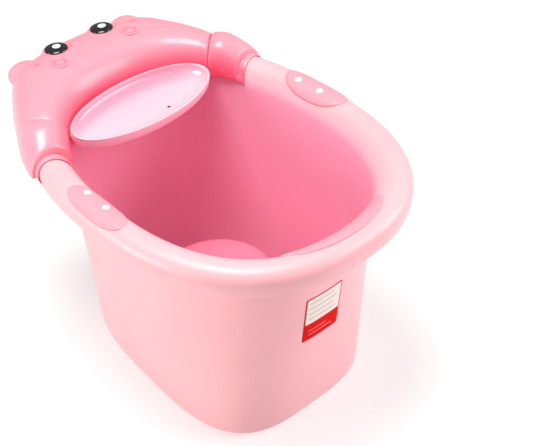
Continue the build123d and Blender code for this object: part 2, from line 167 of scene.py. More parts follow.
def at_height(plan, z):
    """Plan points lifted to a height, which may vary from point to point."""
    return np.column_stack([plan, np.broadcast_to(z, len(plan))])


# Materials ------------------------------------------------------------------------------------


def plastic(name, colour, roughness, grain=0.00035, bump=0.04, tint=0.035, coat=0.0, painted_shade_and_bounce=None):
    """Moulded plastic: a faint cloudiness in the colour, uneven gloss and a fine orange-peel skin.

    The last argument is a second colour, painted shade and bounce light, mixed in where the piece's attribute
    of the same name is 1.
    """
    material = bpy.data.materials.new(name)
    material.use_nodes = True
    nodes, links = material.node_tree.nodes, material.node_tree.links
    shader = nodes["Principled BSDF"]
    place = nodes.new("ShaderNodeTexCoord")

    cloud = nodes.new("ShaderNodeTexNoise")
    cloud.inputs["Scale"].default_value = 9.0
    cloud.inputs["Detail"].default_value = 4.0
    links.new(place.outputs["Object"], cloud.inputs["Vector"])
    ramp = nodes.new("ShaderNodeValToRGB")
    ramp.color_ramp.elements[0].position = 0.3
    ramp.color_ramp.elements[1].position = 0.7
    ramp.color_ramp.elements[0].color = (*[c * (1 - tint) for c in colour], 1)
    ramp.color_ramp.elements[1].color = (*[min(1, c * (1 + tint)) for c in colour], 1)
    links.new(cloud.outputs["Fac"], ramp.inputs["Fac"])
    pigment = ramp.outputs["Color"]
    # Painted shade and bounce light: a second colour mixed in where the stored attribute says.
    if painted_shade_and_bounce:
        depth = nodes.new("ShaderNodeAttribute")
        depth.attribute_name = "painted_shade_and_bounce"
        blend = nodes.new("ShaderNodeMix")
        blend.data_type = "RGBA"
        blend.inputs["B"].default_value = (*painted_shade_and_bounce, 1)
        links.new(depth.outputs["Fac"], blend.inputs["Factor"])
        links.new(pigment, blend.inputs["A"])
        pigment = blend.outputs["Result"]
    links.new(pigment, shader.inputs["Base Color"])

    smear = nodes.new("ShaderNodeTexNoise")
    smear.inputs["Scale"].default_value = 28.0
    smear.inputs["Detail"].default_value = 5.0
    links.new(place.outputs["Object"], smear.inputs["Vector"])
    spread = nodes.new("ShaderNodeMapRange")
    spread.inputs["To Min"].default_value = roughness * 0.85
    spread.inputs["To Max"].default_value = roughness * 1.15
    links.new(smear.outputs["Fac"], spread.inputs["Value"])
    links.new(spread.outputs["Result"], shader.inputs["Roughness"])

    peel = nodes.new("ShaderNodeTexNoise")
    peel.inputs["Scale"].default_value = 0.3 / grain
    peel.inputs["Detail"].default_value = 3.0
    links.new(place.outputs["Object"], peel.inputs["Vector"])
    skin = nodes.new("ShaderNodeBump")
    skin.inputs["Strength"].default_value = bump
    skin.inputs["Distance"].default_value = grain
    links.new(peel.outputs["Fac"], skin.inputs["Height"])
    links.new(skin.outputs["Normal"], shader.inputs["Normal"])

    shader.inputs["Coat Weight"].default_value = coat
    shader.inputs["Coat Roughness"].default_value = 0.12
    return material


def set_painted_shade(piece, share_at):
    """Notes the rule for how much painted shade and bounce light each vertex gets, from 0 to 1."""
    painted_shade_rules.append((piece, share_at))
    return piece


def store_painted_shade():
    """Writes the attribute of painted shade and bounce light that the plastics read."""
    for piece, share_at in painted_shade_rules:
        depth = piece.data.attributes.new("painted_shade_and_bounce", "FLOAT", "POINT")
        values = [min(1.0, max(0.0, share_at(vert.co, vert.normal))) for vert in piece.data.vertices]
        depth.data.foreach_set("value", values)


def smooth_step(low, high, value):
    t = min(1.0, max(0.0, (value - low) / (high - low)))
    return t * t * (3 - 2 * t)


# The second colours of the tub and the head are painted shade and bounce light on their faces into the bath.
TUB_PINK = plastic("tub_pink", (0.94, 0.45, 0.48), 0.38, bump=0.03, painted_shade_and_bounce=(1.0, 0.46, 0.62))
HEAD_PINK = plastic("head_pink", (0.94, 0.30, 0.365), 0.30, bump=0.03, coat=0.1, painted_shade_and_bounce=(0.97, 0.10, 0.19))
HOLDER_PINK = plastic("holder_pink", (0.97, 0.55, 0.66), 0.36, bump=0.03)
STOOL_PINK = plastic("stool_pink", (0.97, 0.24, 0.34), 0.40)
GRIP_PINK = plastic("grip_pink", (0.93, 0.32, 0.38), 0.48, grain=0.0006, bump=0.08)
WHITE_GLOSS = plastic("white_gloss", (0.84, 0.73, 0.77), 0.22, bump=0.02, tint=0.012, coat=0.3)
# The tray's pale pink is partly its own colour and partly painted pink bounce light from the tub; its second
# colour is painted shade and bounce on the rear wall.
TRAY_WHITE = plastic(
    "tray_white", (0.82, 0.50, 0.57), 0.22, bump=0.02, tint=0.012, coat=0.3,
    painted_shade_and_bounce=(0.86, 0.27, 0.37),
)
EYE_BLACK = plastic("eye_black", (0.012, 0.011, 0.012), 0.10, bump=0.01, coat=0.6)
# Painted highlight: white for the eyes' glints, in place of the overhead light's reflection.
EYE_PAINTED_HIGHLIGHT = plastic("eye_painted_highlight", (0.85, 0.85, 0.83), 0.15, bump=0.01, tint=0.01, coat=0.4)
SEAL_GREY = plastic("seal_grey", (0.62, 0.60, 0.60), 0.62, grain=0.0006, bump=0.12)
FOOT_GREY = plastic("foot_grey", (0.58, 0.56, 0.56), 0.66, grain=0.0006, bump=0.15)
LABEL_FILM = plastic("label_film", (0.86, 0.74, 0.68), 0.35, bump=0.02)
LABEL_RED = plastic("label_red", (0.72, 0.001, 0.001), 0.55, bump=0.02)
LABEL_RED.node_tree.nodes["Principled BSDF"].inputs["Specular IOR Level"].default_value = 0.05
LABEL_PALE_RED = plastic("label_pale_red", (0.9, 0.06, 0.06), 0.35, bump=0.02)
LABEL_GREY = plastic("label_grey", (0.62, 0.52, 0.5), 0.4, bump=0.02)

# Bucket ---------------------------------------------------------------------------------------


def wall_row(angles, t, base_inset, top_inset, base_z):
    """Row of the straight-drafted wall, a share t of the way up from the base outline."""
    plan = (1 - t) * base_plan(angles, base_inset) + t * rim_plan(angles, top_inset)
    return at_height(plan, base_z + t * (ROLL_Z - base_z))


def drain_plan(angles, radius):
    """Circle about the drain, with its points facing the same way as the outline's."""
    low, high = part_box("drain_seat")
    centre = (low + high) / 2
    outline = base_plan(angles, 0.0) - np.array([centre.x, centre.y])
    heading = np.arctan2(outline[:, 1], outline[:, 0])
    return np.column_stack([centre.x + radius * np.cos(heading), centre.y + radius * np.sin(heading)])


def flat_rows(angles, outer, inner, z, shares):
    """Rows of a flat face that close in from an outer plan curve to an inner one."""
    return [at_height((1 - s) * outer + s * inner, z) for s in shares]


def bucket():
    angles = np.linspace(0, 2 * pi, RING_STEPS, endpoint=False)
    hole = drain_plan(angles, 19 * MM)
    soft = 0.8 * MM
    ring_inner = HEEL_RADIUS + FOOT_RING_WIDTH
    rows = []
    # Underside: out from the drain, down the recess, under the foot ring and round the heel.
    recess = base_plan(angles, ring_inner)
    rows += flat_rows(angles, hole, recess, PLATE_Z, (0.0, 0.02, 0.3, 0.6, 0.9, 0.985, 0.995))
    for step in (0.1, 0.5, 0.9):
        z = PLATE_Z - step * (PLATE_Z - BOTTOM_Z)
        rows.append(at_height(base_plan(angles, ring_inner - soft * 0.2), z))
    rows.append(at_height(base_plan(angles, ring_inner - soft * 1.5), BOTTOM_Z))
    rows.append(at_height(base_plan(angles, HEEL_RADIUS + 3 * soft), BOTTOM_Z))
    for angle in np.radians([86, 70, 50, 30, 12]):
        z = BOTTOM_Z + HEEL_RADIUS * (1 - sin(angle))
        rows.append(at_height(base_plan(angles, 0.5 * MM + HEEL_RADIUS * (1 - cos(angle))), z))
    # Outer wall up to the hollow under the bead.
    for t in np.linspace(0.035, 1.0, 9):
        rows.append(wall_row(angles, t, 0.5 * MM, BEAD_RADIUS + ROLL_WIDTH - WALL, BOTTOM_Z))
    for angle in np.radians([15, 32, 50, 68, 84]):
        inset = BEAD_RADIUS + (ROLL_WIDTH - WALL) * cos(angle)
        rows.append(at_height(rim_plan(angles, inset), ROLL_Z + (ROLL_HEIGHT - WALL) * sin(angle)))
    for angle in np.radians([84, 60, 38, 16, 0]):
        inset = BEAD_RADIUS - (BEAD_RADIUS - WALL) * cos(angle)
        rows.append(at_height(rim_plan(angles, inset), BEAD_Z + (BEAD_HEIGHT - WALL) * sin(angle)))
    # Round the lip's edge.
    rows.append(at_height(rim_plan(angles, LIP_TUCK + WALL), LIP_Z + 4 * MM))
    rows.append(at_height(rim_plan(angles, LIP_TUCK + WALL * 0.93), LIP_Z + 0.8 * MM))
    rows.append(at_height(rim_plan(angles, LIP_TUCK + WALL * 0.65), LIP_Z))
    rows.append(at_height(rim_plan(angles, LIP_TUCK + WALL * 0.3), LIP_Z))
    rows.append(at_height(rim_plan(angles, LIP_TUCK), LIP_Z + 0.9 * MM))
    rows.append(at_height(rim_plan(angles, LIP_TUCK * 0.75), LIP_Z + 5 * MM))
    rows.append(at_height(rim_plan(angles, LIP_TUCK * 0.25), LIP_Z + 12 * MM))
    # Over the bead and down the roll.
    for angle in np.radians(np.linspace(0, 90, 9)):
        inset = BEAD_RADIUS * (1 - cos(angle))
        rows.append(at_height(rim_plan(angles, inset), BEAD_Z + BEAD_HEIGHT * sin(angle)))
    for angle in np.radians(np.linspace(78, 0, 9)):
        inset = BEAD_RADIUS + ROLL_WIDTH * cos(angle)
        rows.append(at_height(rim_plan(angles, inset), ROLL_Z + ROLL_HEIGHT * sin(angle)))
    # Inner wall, heel and floor.
    heel_share = HEEL_RADIUS / (ROLL_Z - FLOOR_Z)
    for t in np.linspace(0.9, heel_share, 8):
        rows.append(wall_row(angles, t, WALL, BEAD_RADIUS + ROLL_WIDTH, FLOOR_Z))
    for angle in np.radians([20, 45, 70, 90]):
        z = FLOOR_Z + HEEL_RADIUS * (1 - sin(angle))
        rows.append(at_height(base_plan(angles, WALL + HEEL_RADIUS * (1 - cos(angle))), z))
    floor_edge = base_plan(angles, WALL + HEEL_RADIUS)
    rows += flat_rows(angles, floor_edge, hole, FLOOR_Z, (0.03, 0.3, 0.6, 0.9, 0.98, 1.0))
    verts = np.concatenate(rows)
    # A shallow arch lifts the foot ring between the front and rear pads.
    along = (verts[:, 1] - TUB_Y - ARCH_Y) / ARCH_HALF_LENGTH
    rise = np.where(np.abs(along) < 1, ARCH_HEIGHT * (0.5 + 0.5 * np.cos(pi * np.clip(along, -1, 1))), 0)
    verts[:, 2] = np.maximum(verts[:, 2], BOTTOM_Z + rise)
    piece = subdivide(new_object("bucket", verts, grid_faces(len(rows), RING_STEPS, wrap_rows=True)))

    def inside(place, normal):
        """Painted bounce light and shade inside the bath: 1 on its walls and floor, fading out over the roll;
        0 outside.
        """
        across, along = place.x / RIM_HALF_WIDTH, (place.y - TUB_Y) / RIM_HALF_LENGTH
        towards_middle = -(normal.x * across + normal.y * along)
        facing_in = max(smooth_step(0.05, 0.45, towards_middle), smooth_step(0.5, 0.9, normal.z))
        return facing_in * smooth_step(RIM_TOP - 6 * MM, RIM_TOP - 44 * MM, place.z)

    return set_painted_shade(piece, inside)


finish_piece(bucket(), "tub", "tub_plastic", TUB_PINK, "tub_body")

# Rim surface, used by the pads, the studs and the sleeves ---------------------------------------


def rim_surface(angle, across, lift=0.0):
    """Points on the rim. across is -1 at the bead's outermost line, 0 at the crest, 1 at the wall."""
    angle, across = np.broadcast_arrays(np.asarray(angle, float), np.asarray(across, float))
    turn = (1 - np.abs(across)) * pi / 2
    outside = across < 0
    width = np.where(outside, BEAD_RADIUS, ROLL_WIDTH)
    height = np.where(outside, BEAD_HEIGHT, ROLL_HEIGHT)
    side = np.where(outside, -1.0, 1.0)
    inset = BEAD_RADIUS + side * (width + lift) * np.cos(turn)
    z = RIM_TOP - height + (height + lift) * np.sin(turn)
    return np.concatenate([rim_plan(angle, inset), z[..., None]], axis=-1)


def rim_pad(name, angle, half_angle, across, half_across, thickness, power):
    """Soft pad on the rim: an oval in the rim's own directions, crowned and with a rolled edge."""
    spokes = 96
    # Share of the way out to the edge, and share of the thickness there.
    crown = [
        (0.25, 1.0), (0.5, 1.0), (0.7, 0.97), (0.84, 0.9), (0.93, 0.78), (0.975, 0.55), (1.0, 0.2),
        (1.003, -0.25),
    ]
    turns = np.linspace(0, 2 * pi, spokes, endpoint=False)
    reach = (np.abs(np.cos(turns)) ** power + np.abs(np.sin(turns)) ** power) ** (-1 / power)
    rows = []
    for radius, lift in crown:
        rows.append(
            rim_surface(
                angle + half_angle * radius * reach * np.cos(turns),
                across + half_across * radius * reach * np.sin(turns),
                thickness * lift,
            )
        )
    centre = rim_surface(angle, across, thickness)
    verts = np.concatenate([*rows, centre[None, :]])
    faces = grid_faces(len(rows), spokes)
    hub = len(verts) - 1
    faces += [(hub, (j + 1) % spokes, j) for j in range(spokes)]
    return subdivide(new_object(name, verts, faces))


PAD_THICKNESS = 3.4 * MM
STUD_RADIUS, STUD_RISE = 6.0 * MM, 2.6 * MM
STUD_SPACING = 52 * MM


def lathe(name, profile, spokes=64, levels=1):
    """Turned solid about Z from (radius, height) points, whose ends on the axis have radius 0."""
    turns = np.linspace(0, 2 * pi, spokes, endpoint=False)
    rows = [
        np.column_stack([r * np.cos(turns), r * np.sin(turns), np.full(spokes, z)])
        for r, z in profile
        if r > 0
    ]
    verts = np.concatenate(rows)
    faces = grid_faces(len(rows), spokes)
    for r, z, row in ((*profile[0], 0), (*profile[-1], len(rows) - 1)):
        if r == 0:
            hub = len(verts)
            verts = np.concatenate([verts, [[0, 0, z]]])
            faces += [(hub, row * spokes + j, row * spokes + (j + 1) % spokes) for j in range(spokes)]
    return subdivide(new_object(name, verts, faces), levels)


def tilt_to(normal):
    """Rotation that turns the Z axis to the normal."""
    return Vector((0, 0, 1)).rotation_difference(Vector(normal)).to_matrix().to_4x4()


def place_on(piece, point, normal):
    """Moves a piece built at the origin to a point, with its Z axis along the normal."""
    piece.data.transform(Matrix.Translation(Vector(point)) @ tilt_to(normal))
    return piece


def rim_normal(angle, across):
    """Outward normal of the rim's surface."""
    lower, upper = rim_surface(angle, across - 0.01), rim_surface(angle, across + 0.01)
    before, after = rim_surface(angle - 0.01, across), rim_surface(angle + 0.01, across)
    normal = Vector(upper - lower).cross(Vector(after - before)).normalized()
    return normal if normal.z > 0 else -normal


def stud(name, angle, across):
    piece = lathe(
        name,
        [(STUD_RADIUS, -2 * MM), (STUD_RADIUS, STUD_RISE * 0.35), (STUD_RADIUS * 0.93, STUD_RISE * 0.7),
         (STUD_RADIUS * 0.6, STUD_RISE * 0.95), (0, STUD_RISE)],
        spokes=32,
    )
    return place_on(piece, rim_surface(angle, across, PAD_THICKNESS * 0.9), rim_normal(angle, across))


for side, name in ((-1, "left"), (1, "right")):
    middle_angle = radians(-1.3) if side > 0 else pi - radians(-1.3)
    pad = rim_pad(f"grip_pad_{name}", middle_angle, radians(12.0), -0.01, 0.57, PAD_THICKNESS, 2.4)
    finish_piece(pad, "tub", "grip_pad", GRIP_PINK, f"side_grip_{name}")
    stud_turn = STUD_SPACING / 2 / RIM_HALF_LENGTH
    for number, turn in enumerate((-stud_turn, stud_turn), start=1):
        button = stud(f"grip_stud_{name}_{number}", middle_angle + side * (turn + radians(1.75)), 0.16)
        finish_piece(button, "tub", "white_plastic", WHITE_GLOSS, f"grip_studs_{name}")

crescent = rim_pad("grip_pad_front", -pi / 2, radians(27.0), 0.45, 0.46, PAD_THICKNESS, 2.0)
finish_piece(crescent, "tub", "grip_pad", GRIP_PINK, "front_grip")

# Label ------------------------------------------------------------------------------------------

FRONT_ANGLES = np.radians(np.linspace(-150, -30, 241))
FRONT_LOW = base_plan(FRONT_ANGLES, 0.5 * MM)
FRONT_HIGH = rim_plan(FRONT_ANGLES, BEAD_RADIUS + ROLL_WIDTH - WALL)


def wall_point(x, z, lift):
    """Point on the bucket's front outer wall at a given x and height, lifted off by a distance."""
    t = (z - BOTTOM_Z) / (ROLL_Z - BOTTOM_Z)
    row = (1 - t) * FRONT_LOW + t * FRONT_HIGH
    return (x, np.interp(x, row[:, 0], row[:, 1]) - lift, z)


def label_layer(name, x0, x1, z0, z1, base, top, material, corner=2.5 * MM):
    """Thin patch that follows the wall between two lifts, with rounded corners and soft edges."""
    steps_x, steps_z = 24, 30
    verts = []
    middle_x, middle_z = (x0 + x1) / 2, (z0 + z1) / 2
    half_x, half_z = (x1 - x0) / 2, (z1 - z0) / 2
    shares_x, shares_z = np.linspace(-1, 1, steps_x), np.linspace(-1, 1, steps_z)

    def corner_pull(u, v):
        """Moves the patch's corner points onto an arc."""
        dx, dz = max(0, abs(u) * half_x - (half_x - corner)), max(0, abs(v) * half_z - (half_z - corner))
        if dx == 0 or dz == 0:
            return u * half_x, v * half_z
        stretch = max(dx, dz) / (dx * dx + dz * dz) ** 0.5
        sign_x, sign_z = (1 if u > 0 else -1), (1 if v > 0 else -1)
        return sign_x * (half_x - corner + dx * stretch), sign_z * (half_z - corner + dz * stretch)

    for lift in (base, top):
        for v in shares_z:
            for u in shares_x:
                px, pz = corner_pull(u, v)
                verts.append(wall_point(middle_x + px, middle_z + pz, lift))
    sheet = grid_faces(steps_z, steps_x, wrap_columns=False)
    offset = steps_x * steps_z
    faces = sheet + [tuple(offset + i for i in face) for face in sheet]
    border = (
        [i for i in range(steps_x)]
        + [i * steps_x + steps_x - 1 for i in range(1, steps_z)]
        + [offset - 1 - i for i in range(1, steps_x)]
        + [i * steps_x for i in range(steps_z - 2, 0, -1)]
    )
    for k, i in enumerate(border):
        j = border[(k + 1) % len(border)]
        faces.append((i, j, offset + j, offset + i))
    piece = new_object(name, verts, faces)
    return finish_piece(piece, "tub", "label_film", material, "label")


label_low, label_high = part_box("label")
LABEL_X0, LABEL_X1, LABEL_Z0, LABEL_Z1 = label_low.x, label_high.x, label_low.z, label_high.z
LABEL_SPLIT = LABEL_Z0 + 0.40 * (LABEL_Z1 - LABEL_Z0)
MARGIN = 2.2 * MM
label_layer("label_backing", LABEL_X0, LABEL_X1, LABEL_Z0, LABEL_Z1, -0.2 * MM, 0.35 * MM, LABEL_RED)
label_layer(
    "label_panel", LABEL_X0 + MARGIN, LABEL_X1 - MARGIN, LABEL_SPLIT, LABEL_Z1 - MARGIN, 0.3 * MM, 0.5 * MM,
    LABEL_FILM, 1.5 * MM,
)
for row in range(4):
    bar_z = LABEL_SPLIT + (0.16 + 0.2 * row) * (LABEL_Z1 - LABEL_SPLIT)
    bar_end = LABEL_X1 - (9 + 7 * (row % 2)) * MM
    label_layer(
        f"label_bar_{row + 1}", LABEL_X0 + 8 * MM, bar_end, bar_z, bar_z + 3.2 * MM, 0.45 * MM, 0.6 * MM,
        LABEL_GREY, 1.0 * MM,
    )
for row in range(2):
    bar_z = LABEL_Z0 + (11 + 9 * row) * MM
    bar_end = LABEL_X1 - (14 + 12 * row) * MM
    label_layer(
        f"label_stripe_{row + 1}", LABEL_X0 + 10 * MM, bar_end, bar_z, bar_z + 2.6 * MM, 0.3 * MM, 0.5 * MM,
        LABEL_PALE_RED, 1.0 * MM,
    )

# Head -------------------------------------------------------------------------------------------

# Stations across the saddle in millimetres from the rim's centre, from the middle to the arm's end:
# inner x, inner y, outer x, outer y, height of the crown, height of the legs' ends, power of the dome.
HEAD_STATIONS = (
    (0, 232, 0, 372, 461, 379, 2.7),
    (46, 229, 62, 368, 461, 379, 2.7),
    (84, 216, 124, 349, 459, 379, 2.7),
    (112, 199, 160, 301, 454, 379, 2.7),
    (131, 181, 186, 251, 448, 380, 2.6),
    (139, 170, 199, 224, 442, 386, 2.5),
)
ARM_STATIONS = (
    (139, 170, 199, 224, 440, 386, 2.5),
    (140, 168, 204, 217, 446, 388, 2.5),
    (147, 158, 217, 190, 448, 391, 2.4),
    (154, 143, 228, 156, 437, 391, 2.2),
    (159, 132, 230, 141, 430, 391, 2.1),
)
HEAD_WALL = 3 * MM
ARM_LEAN = 5 * MM


def mirrored(station, side):
    return (side * station[0], station[1], side * station[2], *station[3:])


def through(stations, at):
    """Station between the given ones, by a Catmull-Rom curve through them."""
    table = np.array(stations, float)
    last = len(table) - 1
    at = min(max(at, 0), last)
    i = min(int(at), last - 1)
    t = at - i
    before, here, there, after = table[max(i - 1, 0)], table[i], table[i + 1], table[min(i + 2, last)]
    if i == 0:
        before = 2 * here - there
    if i == last - 1:
        after = 2 * there - here
    slope_here, slope_there = (there - before) / 2, (after - here) / 2
    return (
        (2 * t**3 - 3 * t**2 + 1) * here
        + (t**3 - 2 * t**2 + t) * slope_here
        + (3 * t**2 - 2 * t**3) * there
        + (t**3 - t**2) * slope_there
    )


def dome(station, inset, steps=40, lean=0.0):
    """Curve over the saddle at a station, from the inner leg's end to the outer's, moved in by the inset."""
    inner_x, inner_y, outer_x, outer_y, crown, legs_end = (v * MM for v in station[:6])
    power = station[6]
    inner, outer = np.array([inner_x, inner_y + TUB_Y]), np.array([outer_x, outer_y + TUB_Y])
    length = np.linalg.norm(outer - inner)
    outward = (outer - inner) / length
    turns = np.linspace(pi, 0, steps)
    reach = (np.abs(np.cos(turns)) ** power + np.abs(np.sin(turns)) ** power) ** (-1 / power)
    across = (length / 2 - inset) * reach * np.cos(turns)
    rise = (crown - legs_end - inset) * reach * np.sin(turns)
    plan = (inner + outer) / 2 + across[:, None] * outward
    plan[:, 1] += lean * (rise / (crown - legs_end)) ** 2
    return np.column_stack([plan, legs_end + rise])


def capped_tube(name, rows):
    """Closed solid from equal rows of points, each row a closed loop."""
    columns = len(rows[0])
    faces = grid_faces(len(rows), columns)
    faces.append(tuple(range(columns)))
    faces.append(tuple((len(rows) - 1) * columns + j for j in range(columns)))
    return new_object(name, np.concatenate(rows), faces)


def ellipsoid(name, centre, radii):
    """Closed ellipsoid, for joining into a blended body."""
    profile = [(sin(t), -cos(t)) for t in np.linspace(0, pi, 17)]
    profile[0], profile[-1] = (0, -1.0), (0, 1.0)
    piece = lathe(name, profile, spokes=32, levels=0)
    piece.data.transform(Matrix.Translation(Vector(centre)) @ Matrix.Diagonal((*radii, 1)))
    return piece


def join(first, *others):
    """Merges meshes into the first one."""
    work = bmesh.new()
    work.from_mesh(first.data)
    for other in others:
        work.from_mesh(other.data)
        bpy.data.objects.remove(other)
    work.to_mesh(first.data)
    work.free()
    return first


def blend_body(piece, voxel, rounds):
    """Fuses a piece's overlapping solids into one skin and softens the seams."""
    remesh = piece.modifiers.new("fuse", "REMESH")
    remesh.mode = "VOXEL"
    remesh.voxel_size = voxel
    soften = piece.modifiers.new("soften", "SMOOTH")
    soften.factor = 0.5
    soften.iterations = rounds
    apply_modifiers(piece)
    return piece


EAR = Vector((101, 342, 428)) * MM + Vector((0, TUB_Y, 0))
EAR_RADII = (31 * MM, 27 * MM, 19 * MM)
EAR_HOLLOW = Vector((95, 311, 455)) * MM + Vector((0, TUB_Y, 0))
EAR_HOLLOW_RADIUS, EAR_HOLLOW_DEPTH = 6.5 * MM, 2.6 * MM
EYE = Vector((45.5, 330.5, 456)) * MM + Vector((0, TUB_Y, 0))
EYE_RADIUS, EYE_DOME = 20.0 * MM, 5 * MM
EYE_UP = (0, 0.07, 1)
DISC = Vector((70, 284, 460)) * MM + Vector((0, TUB_Y, 0))
DISC_RADIUS = 14.5 * MM


def painted_groove_shade(place, normal):
    """Painted shade in the groove round a cheek button."""
    middle = flipped(DISC, 1 if place.x > 0 else -1)
    reach = Vector((place.x - middle.x, place.y - middle.y)).length
    return 0.5 * float(np.exp(-(((reach - DISC_RADIUS + 5 * MM) / (2.2 * MM)) ** 2)))


def flipped(point, side):
    return Vector((side * point.x, point.y, point.z))


def painted_inner_face_shade(place, normal):
    """Painted shade and bounce light on the face that looks into the bath, from its crown down, and painted
    shade in the ear hollows.
    """
    inward = -Vector((place.x, place.y - TUB_Y)).normalized()
    facing_in = smooth_step(0.25, 0.95, normal.x * inward.x + normal.y * inward.y)
    side = 1 if place.x > 0 else -1
    ear_hollow_shade = 0.45 * float(np.exp(-(((place - flipped(EAR_HOLLOW, side)).length / EAR_HOLLOW_RADIUS) ** 2)))
    return facing_in * smooth_step(458 * MM, 405 * MM, place.z) + ear_hollow_shade


def head_shell():
    """Saddle with ears and eye mounds fused in, hollow and open below and at both ends."""
    stations = [mirrored(s, -1) for s in reversed(HEAD_STATIONS[1:])] + list(HEAD_STATIONS)
    rows = []
    for at in np.linspace(0, len(stations) - 1, 161):
        over = dome(through(stations, at), 0.0)
        low = over[[-1, 0]] - [0, 0, 2 * MM]
        rows.append(np.concatenate([over, low]))
    parts = [capped_tube("head_shell", rows)]
    for side in (-1, 1):
        parts.append(ellipsoid("ear", flipped(EAR, side), EAR_RADII))
        mound = flipped(EYE, side) - Vector((0, 0, 6 * MM))
        parts.append(ellipsoid("eye_mound", mound, (25 * MM, 24 * MM, 10 * MM)))
    piece = blend_body(join(*parts), 1.7 * MM, 14)
    inner_x, inner_y, outer_x, outer_y = ARM_STATIONS[0][:4]
    end_normal = np.array([outer_y - inner_y, inner_x - outer_x], float)
    end_normal /= np.linalg.norm(end_normal)
    work = bmesh.new()
    work.from_mesh(piece.data)
    work.normal_update()
    doomed = []
    for face in work.faces:
        centre, normal = face.calc_center_median(), face.normal
        side = 1 if centre.x > 0 else -1
        facing_end = normal.x * side * end_normal[0] + normal.y * end_normal[1]
        past_end = centre.y < TUB_Y + 235 * MM and abs(centre.x) > 130 * MM
        if (normal.z < -0.7 and centre.z < 392 * MM) or (facing_end > 0.75 and past_end):
            doomed.append(face)
    bmesh.ops.delete(work, geom=doomed, context="FACES")
    for vert in work.verts:
        side = 1 if vert.co.x > 0 else -1
        gap = (vert.co - flipped(EAR_HOLLOW, side)).length / EAR_HOLLOW_RADIUS
        if gap < 2.5:
            vert.co -= vert.normal * EAR_HOLLOW_DEPTH * float(np.exp(-gap * gap))
    # A flat seat under each eye.
    for side in (-1, 1):
        seat = Matrix.Translation(flipped(EYE, side)) @ tilt_to(EYE_UP)
        unseat = seat.inverted()
        for vert in work.verts:
            local = unseat @ vert.co
            if local.z > -25 * MM:
                share = smooth_step(EYE_RADIUS + 7 * MM, EYE_RADIUS + 1.5 * MM, local.to_2d().length)
                local.z -= share * max(0.0, local.z + 0.4 * MM)
                vert.co = seat @ local
    work.to_mesh(piece.data)
    work.free()
    wall = piece.modifiers.new("wall", "SOLIDIFY")
    wall.thickness = 2.6 * MM
    wall.offset = -1
    apply_modifiers(piece)
    piece.data.polygons.foreach_set("use_smooth", [True] * len(piece.data.polygons))
    return set_painted_shade(piece, painted_inner_face_shade)


def arm_shell(name, side):
    """Arm with rounded ends, whose back tucks under the head and whose front leans over the sleeve."""
    last = len(ARM_STATIONS) - 1
    stations = [mirrored(s, side) for s in ARM_STATIONS]
    # Where each row is along the arm, and how far it is drawn in from the arm's skin.
    edge = [(0.0, 0.9), (0.04, 0.5), (0.12, 0.15), (0.25, 0.0)]
    along = edge + [(a, 0.0) for a in np.linspace(0.3, last - 0.35, 20)]
    along += [(last - 0.16, 0.0), (last - 0.08, 0.3), (last - 0.02, 1.1)]
    along += [(last, 2.4), (last, 6.5), (last, 11.0)]

    def skin(at, inset):
        """Row of points across the arm, an inset below its surface."""
        return dome(through(stations, at), inset, lean=ARM_LEAN * (at / last) ** 3)

    rows = [skin(at, drawn_in * MM) for at, drawn_in in along]
    inside = [skin(min(at, last - 0.15), max(HEAD_WALL, drawn_in * MM)) for at, drawn_in in reversed(along)]
    # A tongue behind the crease closes the joint with the head.
    back = np.array([0, 8 * MM, 0])
    tongue, tongue_inside = skin(0, 1.1 * MM), skin(0, 4.2 * MM)
    rows = [tongue + back, tongue + back * 0.1] + rows
    rows += inside + [tongue_inside + back * 0.1, tongue_inside + back]
    verts = np.concatenate(rows)
    faces = grid_faces(len(rows), len(rows[0]), wrap_rows=True, wrap_columns=False)
    piece = new_object(name, verts, faces)
    work = bmesh.new()
    work.from_mesh(piece.data)
    # Close the legs' ends between the outer and the inner skin.
    count, columns, skins = len(rows), len(rows[0]), len(rows) // 2
    work.verts.ensure_lookup_table()
    for column in (0, columns - 1):
        for i in range(skins - 1):
            j = count - 1 - i
            quad = [work.verts[k * columns + column] for k in (i, i + 1, j - 1, j)]
            if len(set(quad)) == 4:
                work.faces.new(quad)
    bmesh.ops.recalc_face_normals(work, faces=work.faces)
    work.to_mesh(piece.data)
    work.free()
    return set_painted_shade(subdivide(piece), painted_inner_face_shade)


